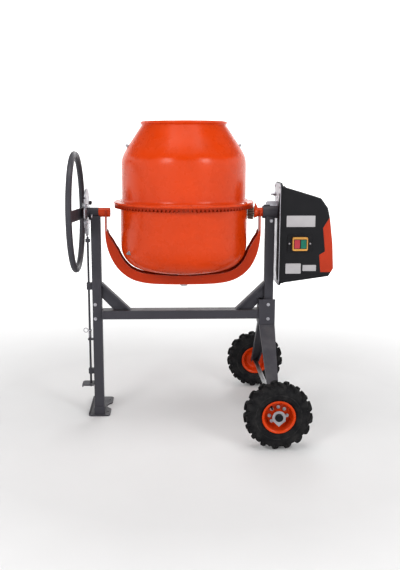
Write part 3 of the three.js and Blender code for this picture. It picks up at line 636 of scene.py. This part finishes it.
def make_drum():
    upper = scaled([
        (279, 1016.7), (319, 1016.7, 0.6), (319, 1023.2, 1.2), (314.6, 1023.2, 1.4), (312.4, 1020.2, 1.6),
        (290, 1020.2, 7), (282, 1033, 9), (282, 1200, 30), (276.2, 1228, 20), (252, 1269, 24),
        (189.2, 1363.5, 1.5), (194.6, 1367.5, 3.2), (196, 1374, 3.4), (191.5, 1379, 3.2), (185.4, 1376.8, 3),
        (184.2, 1366, 3), (248.8, 1267.4, 24), (273.2, 1226.2, 20), (279, 1198, 30),
    ])
    obj = merged("drum_top_shell", [about_drum(lathe(rounded(upper, 6), 160))], 40)
    piece(obj, "orange_paint", "drum", "drum_upper")
    lower = scaled([
        (31, 702), (83, 702, 22), (152, 706.6, 32), (191, 712.5, 20), (223, 722.2, 18), (254.5, 741.6, 22),
        (281, 777, 24), (289.5, 815, 22), (289.5, 1010, 3), (294, 1013.4, 2), (316, 1013.4), (316, 1016.4),
        (286.5, 1016.4), (286.5, 815, 22), (278, 778.6, 24), (252, 744, 22), (221, 725.2, 18),
        (190, 715.7, 20), (151.6, 709.8, 32), (83, 705.2, 22), (31, 705.2),
    ])
    obj = merged("drum_bottom_shell", [about_drum(lathe(rounded(lower, 6), 160))], 40)
    piece(obj, "orange_paint", "drum", "drum_lower")

    places = []
    for k in range(6):
        angle = math.radians(-86 + 60 * k)
        spot = (DRUM_X + 0.3015 * math.cos(angle), 0.3015 * math.sin(angle))
        places.append(((*spot, 1.0202), (0, 0, 1), angle))
    fasteners("flange_screws", "drum", "orange_paint", places, bolt_parts(0.0125), 30)


def make_blades():
    """Rolled mixing blades: a curved strip with rounded edges, flattened at both feet."""
    path = smooth_path([
        (273.3, 31.5, 787), (280.2, 31.5, 813), (268, 29, 860), (230, 24, 925), (197, 18, 1000),
        (190, 13, 1080), (212, 9, 1165), (240, 6, 1228), (245.5, 4.5, 1257), (229, 4.5, 1282),
    ], 5)
    for side, name in ((1, "mixing_blade_right"), (-1, "mixing_blade_left")):
        vertices = []
        section = rounded([(-20.8, -2.1, 1.6), (20.8, -2.1, 1.6), (20.8, 2.1, 1.6), (-20.8, 2.1, 1.6)], 3)
        for i, (radius, degrees, z) in enumerate(path):
            before = path[max(i - 1, 0)]
            after = path[min(i + 1, len(path) - 1)]
            length = math.hypot(after[0] - before[0], after[2] - before[2])
            out_r = (after[2] - before[2]) / length
            out_z = -(after[0] - before[0]) / length
            angle = math.radians(degrees) + (0 if side > 0 else math.pi)
            for across, out in section:
                reach = radius + out * out_r
                vertices.append((
                    DRUM_X + (reach * math.cos(angle) - across * math.sin(angle)) * MM,
                    (reach * math.sin(angle) + across * math.cos(angle)) * MM,
                    (z + out * out_z) * MM))
        count = len(section)
        faces = []
        for i in range(len(path) - 1):
            for k in range(count):
                j = (k + 1) % count
                faces.append((i * count + k, i * count + j, (i + 1) * count + j, (i + 1) * count + k))
        faces.append(tuple(range(count - 1, -1, -1)))
        faces.append(tuple(range((len(path) - 1) * count, len(path) * count)))
        obj = mesh_object(name + "_rolled", vertices, faces, 50)
        piece(obj, "orange_paint", "drum", name)


# ---- Handwheel, yoke and lock ----

def motor_arm_shift(z):
    """How far the motor-side arm stands further in than the other, in mm, at a height."""
    return MOTOR_ARM_IN * min(1.0, max(0.0, (z - MOTOR_ARM_BEND_Z) / MOTOR_ARM_BEND_RISE))


def half_curve(points, steps):
    """A smooth outline through (x, z) points and their mirror image, with steps between two points."""
    right = [(x - motor_arm_shift(z), z) for x, z in points]
    left = [(-x, z) for x, z in reversed(points[:-1])]
    return smooth_path([(x, 0, z) for x, z in right + left], steps)


def make_yoke():
    """The bent strap with a turned-down flange along both edges, which widens towards the bottom."""
    outer = half_curve([(360, 982), (360, 950), (360, 905), (359.5, 870), (356, 838), (347, 799), (330, 757),
                        (304, 716), (268, 682.5), (224, 659), (165, 646), (90, 641.2), (0, 640)], 5)
    flange = half_curve([(354, 888), (353, 886), (350, 882), (347, 877), (339, 862), (327, 834), (312, 806),
                         (283, 758), (243, 717), (190, 692.5), (140, 686), (80, 682), (0, 680)], 5)
    count = len(outer)
    vertices = []
    for i in range(count):
        before = outer[max(i - 1, 0)]
        after = outer[min(i + 1, count - 1)]
        along = (after - before).normalized()
        inward = Vector((along.z, 0, -along.x))
        if inward.dot(Vector((0, 0, 900)) - outer[i]) < 0:
            inward = -inward
        rise = min(1.0, max(0.0, (964 - outer[i].z) / 84))
        half = 29 + 9 * rise
        deep = max(6.0, min(44.0, (flange[i] - outer[i]).length))
        if outer[i].z > 886:
            deep = 6.0
        lip_in = min(4.0, half - 30) if deep > 6.1 else 0.0
        for y, depth in ((-half, 0), (half, 0), (half, deep), (half - max(lip_in, 0.01), deep),
                         (half - max(lip_in, 0.01), 6.0), (-half + max(lip_in, 0.01), 6.0),
                         (-half + max(lip_in, 0.01), deep), (-half, deep)):
            point = outer[i] + inward * depth
            vertices.append((DRUM_X + point.x * MM, y * MM, point.z * MM))
    faces = []
    for i in range(count - 1):
        for k in range(8):
            j = (k + 1) % 8
            faces.append((i * 8 + k, i * 8 + j, i * 8 + 8 + j, i * 8 + 8 + k))
    faces.append(tuple(range(7, -1, -1)))
    faces.append(tuple(range((count - 1) * 8, count * 8)))
    obj = mesh_object("tilt_yoke_strap", vertices, faces, 45)
    bevelled(obj, 0.0010, 2, 50)
    piece(obj, "orange_paint", "yoke", "tilt_yoke")
    # Painted shade: the yoke gets a darker copy of the orange enamel, standing in for the shade under the
    # drum.
    obj.data.materials[0] = enamel("yoke_enamel_painted_shade", (0.40, 0.032, 0.001), (0.34, 0.12, 0.07), 0.32, 0.04, 0.18)


def make_handwheel():
    low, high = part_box("handwheel_ring")
    middle = (low + high) / 2
    thickness = (high.x - low.x) / 2
    radius = (high.z - low.z) / 2 - thickness
    circle = []
    for k in range(144):
        angle = 2 * math.pi * k / 144
        circle.append((middle.x, radius * math.cos(angle), middle.z + radius * math.sin(angle)))
    obj = merged("handwheel_tube", [tube(circle, thickness, 24, True)], 60)
    piece(obj, "grey_paint", "yoke", "handwheel_ring")
    beads = []
    for side in (-1, 1):
        for edge in (-1, 1):
            line = [(middle.x + 0.0088, side * (0.2497 + 0.0004 * math.sin(k)),
                     middle.z + edge * (0.002 + k * 0.0015)) for k in range(15)]
            widths = [0.0022 + 0.0006 * math.sin(k * 2.1) for k in range(15)]
            beads.append(tube(line, 0.0026, 8, radii=widths))
    piece(merged("spoke_welds", beads, 60), "grey_paint", "yoke")


def make_spring():
    """The coil stands on its seat and reaches up to the collar."""
    low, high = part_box("return_spring")
    turns = 5.5
    path = []
    steps = 200
    bottom, top = low.z + 0.0014, high.z - 0.0014
    for i in range(steps + 1):
        t = i / steps
        angle = 2 * math.pi * turns * t
        path.append((LEFT_ROD_X + 0.0071 * math.cos(angle), 0.0071 * math.sin(angle),
                     bottom + (top - bottom) * t))
    obj = merged("return_spring_wire", [tube(path, 0.00115, 10)], 60)
    finish(obj, "zinc_plate")
    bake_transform(obj)
    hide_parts("return_spring")


# ---- Wheels ----

def tyre_surface(y):
    """Radius of the tyre's crown at a distance from its middle plane."""
    t = min(1.0, abs(y) / 0.036)
    return 0.1371 - 0.010 * t ** 3


def tyre_parts():
    half = [(64.6, 28.6, 1), (72, 29, 2), (76.5, 32.5, 3), (82, 35.6, 4), (92, 37.2, 6), (108, 37.0, 8),
            (125, 34.4, 7), (136.2, 22, 10)]
    other = [(radius, -y, cut) for radius, y, cut in half]
    outline = rounded([(radius * MM, y * MM, cut * MM)
                       for radius, y, cut in other + [(137.2, 0, 14)] + half[::-1]], 5)
    parts = [lathe(outline, 128, "y")]
    for side in (-1, 1):
        ring = rounded([(r * MM, side * y * MM) for r, y in (
            (96, 34.0), (96.6, 37.9), (98.4, 38.1), (99.4, 34.2))], 2)
        parts.append(lathe(ring, 96, "y"))
    return parts


def lug_part(side, turn):
    """One bar of the tread: it leaves the middle of the crown at a slant and folds over the shoulder."""
    rows = [(0.0015, 0.1468, 0.0), (0.010, 0.1468, 0.028), (0.020, 0.1464, 0.070), (0.0285, 0.1446, 0.118),
            (0.0338, 0.1392, 0.152), (0.0366, 0.1312, 0.168), (0.0370, 0.1212, 0.176)]
    vertices = []
    for k, (y, top, slant) in enumerate(rows):
        half = 0.050 if k < 4 else 0.044
        foot = max(0.1140, tyre_surface(y) - 0.006) if k < 5 else top - 0.004
        inner_y = y if k < 4 else y - 0.006
        for angle, radius, across in (
            (slant - half - 0.012, foot, inner_y), (slant - half, top, y), (slant + half, top, y),
            (slant + half + 0.012, foot, inner_y),
        ):
            a = turn + angle
            vertices.append((radius * math.sin(a), side * across, radius * math.cos(a)))
    faces = []
    for k in range(len(rows) - 1):
        for i in range(4):
            j = (i + 1) % 4
            faces.append((k * 4 + i, k * 4 + j, k * 4 + 4 + j, k * 4 + 4 + i))
    faces.append((3, 2, 1, 0))
    last = (len(rows) - 1) * 4
    faces.append((last, last + 1, last + 2, last + 3))
    return vertices, faces


def make_wheel(prefix, body, y, outward):
    hub = Matrix.Translation((AXLE.x, y, AXLE.z))
    tyre = merged(prefix + "_tyre_body", [moved(part, hub) for part in tyre_parts()], 50)
    piece(tyre, "tyre_rubber", body, prefix + "_tyre")
    lugs = []
    for k in range(16):
        turn = 2 * math.pi * k / 16
        lugs.append(moved(lug_part(-1, turn), hub))
        lugs.append(moved(lug_part(1, turn + math.pi / 16), hub))
    tread = bevelled(merged(prefix + "_tread_lugs", lugs, 30), 0.0016, 2, 35)
    piece(tread, "tyre_rubber", body)

    face = [(r, outward * h) for r, h in (
        (11.4, 34), (19.8, 34), (21, 12), (27, 7.5), (44, 7.0), (51, 14), (57, 29), (61, 34), (69, 36.5),
        (72.2, 34.5),
        (71.8, 29.6), (66, 29.2), (63.8, 25), (63.8, -25), (66, -29.2), (71.8, -29.6), (72.2, -34.5),
        (69, -36.5),
        (60, -33), (57, -16), (51, 7), (44, 3.0), (27, 3.2), (19.8, -4), (19.8, -34), (11.4, -34))]
    cuts = [1, 1.5, 3, 4, 5, 5, 4, 3, 3, 1.5, 1.5, 2, 3, 3, 2, 1.5, 1.5, 3, 5, 6, 5, 5, 5, 3, 1.5, 1]
    outline = rounded([(r * MM, h * MM, c * MM) for (r, h), c in zip(face, cuts)], 4)
    rim = merged(prefix + "_rim_pressing", [moved(lathe(outline, 112, "y"), hub)], 40)
    piece(rim, "orange_paint", body, prefix + "_rim")

    places = []
    for k in range(4):
        angle = math.radians(90 * k)
        spot = (AXLE.x + 0.0375 * math.cos(angle), y + outward * 0.0071, AXLE.z + 0.0375 * math.sin(angle))
        places.append((spot, (0, outward, 0), angle))
    for k in range(4):
        angle = math.radians(45 + 90 * k)
        spot = (AXLE.x + 0.0375 * math.cos(angle), y + outward * 0.0029, AXLE.z + 0.0375 * math.sin(angle))
        places.append((spot, (0, -outward, 0), angle))
    fasteners(prefix + "_rim_bolts", body, "zinc_plate", places, bolt_parts(0.0125, True, True))
    stem_angle = math.radians(128)
    stem = Vector((AXLE.x + 0.0505 * math.cos(stem_angle), y + outward * 0.0125,
                   AXLE.z + 0.0505 * math.sin(stem_angle)))
    column = rounded(scaled([
        (0.01, 0), (5.2, 0, 1), (5.0, 6, 1), (3.4, 8, 1), (3.4, 17), (3.9, 17.5, 0.3), (3.9, 22, 1.2),
        (0.01, 22),
    ]), 3)
    matrix = facing(stem, (-0.2 * math.cos(stem_angle), outward, -0.2 * math.sin(stem_angle)))
    piece(merged(prefix + "_valve_stem", [moved(lathe(column, 20), matrix)], 40), "tyre_rubber", body)


# ---- Small fittings ----

def make_fasteners():
    places = []
    for z in (0.543, 0.475):
        for side in (-1, 1):
            places.append(((LEFT_POST_X + 0.004, side * 0.022, z), (0, side, 0), 0.2))
    fasteners("left_post_bolts", "frame", "zinc_plate", places, bolt_parts(0.0125))
    bracket_low, bracket_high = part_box("leg_bracket")
    places = []
    for z in (0.543, 0.475):
        places.append(((DRUM_X + 0.393, bracket_low.y, z), (0, -1, 0), 0.3))
        places.append(((DRUM_X + 0.393, bracket_high.y, z), (0, 1, 0), 0.1))
    fasteners("right_post_bolts", "frame", "zinc_plate", places, bolt_parts(0.0125))
    places = [((DRUM_X + 0.402, side * 0.021, 0.932), (0, side, 0), 0.4) for side in (-1, 1)]
    fasteners("bearing_clamp_bolts", "frame", "zinc_plate", places, bolt_parts(0.0125))

    lug_x = DRUM_X - 0.4363
    lugs = []
    places = []
    for end in (-1, 1):
        outline = rounded([(lug_x - 0.0046, end * 0.088, 0.002), (lug_x + 0.0046, end * 0.088, 0.002),
                           (lug_x + 0.0046, end * 0.1042, 0.002), (lug_x - 0.0046, end * 0.1042, 0.002)], 3)
        for side in (-1, 1):
            near, far = sorted((TILT_Z + side * 0.027, TILT_Z + side * 0.045))
            lugs.append(slab(outline, near, far))
            places.append(((lug_x - 0.0022, end * 0.1042, TILT_Z + side * 0.036), (0, end, 0), 0.0))
    obj = bevelled(merged("disc_clamp_lugs", lugs, 30), 0.0008)
    piece(obj, "grey_paint", "yoke")
    eyelet = lathe(rounded(scaled([
        (3.0, -0.5), (8.8, 0, 0.5), (9.0, 2.4, 0.8), (6.4, 3.0, 0.8), (5.8, 6.0, 1.0), (3.4, 6.2, 0.5),
        (3.0, 2.0),
    ]), 3), 28)
    socket = lathe(scaled([(0.01, 1.2), (3.1, 1.2), (3.1, 2.0), (0.01, 2.0)]), 20)
    fasteners("disc_clamp_nuts", "yoke", "zinc_plate", places, [eyelet, socket])
    collar = lathe(rounded(scaled([
        (17.3, -440.7), (22.5, -440.7, 1), (22.5, -430.6, 1), (17.3, -430.6),
    ]), 3), 48, "x")
    about = Matrix.Translation((DRUM_X, 0, TILT_Z))
    piece(merged("trunnion_collar", [moved(collar, about)], 40), "grey_paint", "yoke")

    screw = lathe(rounded(scaled([
        (0.01, -8), (4.4, -8, 0.5), (4.4, 5, 0.5), (2.8, 9, 1), (0.01, 9.4),
    ]), 3), 20)
    fasteners("bearing_set_screw", "frame", "zinc_plate",
              [((DRUM_X - 0.4205, -0.0245, TILT_Z - 0.016), (0, -0.25, -1), 0.0)], [screw])


def make_drive_side():
    plate_x = DRUM_X + 0.4300
    places = []
    for y in (-0.076, 0.076):
        for z in (0.664, 0.858, 1.088):
            places.append(((plate_x, y, z), (-1, 0, 0), 0.3))
    places.append(((plate_x, 0.004, 1.016), (-1, 0, 0), 0.3))
    fasteners("backplate_screws", "frame", "zinc_plate", places, dome_parts(0.0105))
    nut = bolt_parts(0.0170, True, False)
    fasteners("stud_nut", "frame", "zinc_plate", [((plate_x, 0.070, 1.049), (-1, 0, 0), 0.2)], nut)
    tab = rounded([(0.3765, 1.0035, 0.004), (0.3765, 1.0180, 0.006), (0.3850, 1.0210, 0.006),
                   (0.4298, 1.0210, 0.002), (0.4298, 0.9960, 0.002), (0.4080, 0.9945, 0.004),
                   (0.3925, 1.0010, 0.004)], 4)
    upright = Matrix(((1, 0, 0, DRUM_X), (0, 0, -1, -0.005), (0, 1, 0, 0), (0, 0, 0, 1)))
    plate = slab([(x, z + 0.0012) for x, z in tab], -0.0015, 0.0015)
    obj = bevelled(merged("bearing_tab", [moved(plate, upright)], 30), 0.0005)
    piece(obj, "zinc_plate", "frame")
    switch_low, switch_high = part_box("switch_plate")
    places = []
    for x in (switch_low.x + 0.009, switch_high.x - 0.009):
        for z in (switch_low.z + 0.037, ):
            places.append(((x, switch_low.y, z), (0, -1, 0), 0.0))
    fasteners("switch_plate_screws", "frame", "zinc_plate", places, dome_parts(0.0095))

    lip = rounded([(-0.0855, 0.664, 0.010), (-0.0855, 1.064, 0.004), (-0.070, 1.036, 0.020),
                   (-0.040, 1.000, 0.020), (-0.034, 0.950, 0.010), (-0.034, 0.716, 0.020),
                   (-0.050, 0.664, 0.012)], 5)
    upright = Matrix(((0, 0, 1, plate_x - 0.0030), (1, 0, 0, 0), (0, 1, 0, 0), (0, 0, 0, 1)))
    obj = bevelled(merged("housing_inner_lip", [moved(slab(lip, 0.0, 0.0029), upright)], 30), 0.0006)
    piece(obj, "black_plastic", "frame")

    bezel_low, bezel_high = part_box("switch_bezel")
    well = rounded([(bezel_low.x + 0.0052, bezel_low.z + 0.0092, 0.003),
                    (bezel_high.x - 0.0052, bezel_low.z + 0.0092, 0.003),
                    (bezel_high.x - 0.0052, bezel_high.z - 0.0092, 0.003),
                    (bezel_low.x + 0.0052, bezel_high.z - 0.0092, 0.003)], 3)
    flat = Matrix(((1, 0, 0, 0), (0, 0, -1, bezel_low.y), (0, 1, 0, 0), (0, 0, 0, 1)))
    piece(merged("switch_well", [moved(slab(well, -0.001, 0.0006), flat)], 30), "black_plastic", "frame")

    front = -0.084
    labels = []
    for x0, x1, z0, z1 in ((462, 592, 911, 962), (462, 532, 697, 744), (540, 602, 709, 737)):
        outline = rounded([
            (DRUM_X + x0 * MM, z0 * MM, 0.003), (DRUM_X + x1 * MM, z0 * MM, 0.003),
            (DRUM_X + x1 * MM, z1 * MM, 0.003), (DRUM_X + x0 * MM, z1 * MM, 0.003)], 3)
        flat = slab(outline, 0.0, 0.0007)
        upright = Matrix(((1, 0, 0, 0), (0, 0, -1, front), (0, 1, 0, 0), (0, 0, 0, 1)))
        labels.append(moved(flat, upright))
    obj = merged("blank_labels", labels, 30)
    finish(obj, "label")
    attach(obj, "frame")


def make_floor():
    """A pale round floor that turns up into a glowing wall, all round the machine; the glow is painted
    light, faint near the machine.
    """
    profile = rounded([
        (0.0001, 0), (9.5, 0, 1.6), (9.5, 4.4), (9.6, 4.4), (9.6, -0.1, 1.6), (0.0001, -0.1),
    ], 8)
    floor = merged("studio_sweep", [lathe(profile, 96)], 60)
    g = Graph("studio_floor")
    tone = g.remap(g.noise(1.3, 3), 0.3, 0.7)
    g.set(colour=g.mix(tone, (0.64, 0.64, 0.64), (0.67, 0.67, 0.67)), rough=0.8, specular=0.1)
    length = g.node("ShaderNodeVectorMath")
    length.operation = "LENGTH"
    g.link(g.place, length.inputs[0])
    # Painted light: the floor and wall glow, from 0.04 at 1.1 m from the middle up to 0.80 at 4.6 m and
    # beyond.
    g.shader.inputs["Emission Color"].default_value = (1, 1, 1, 1)
    g.link(g.remap(length.outputs["Value"], 1.1, 4.6, 0.04, 0.80), g.shader.inputs["Emission Strength"])
    floor.data.materials.append(g.material)


make_camera()
make_lights()
make_floor()
dress_nodes()
make_drum()
make_blades()
make_yoke()
make_handwheel()
make_wheel("front", "front_wheel", FRONT_WHEEL_Y, -1)
make_wheel("rear", "rear_wheel", REAR_WHEEL_Y, 1)
make_fasteners()
make_drive_side()
make_spring()
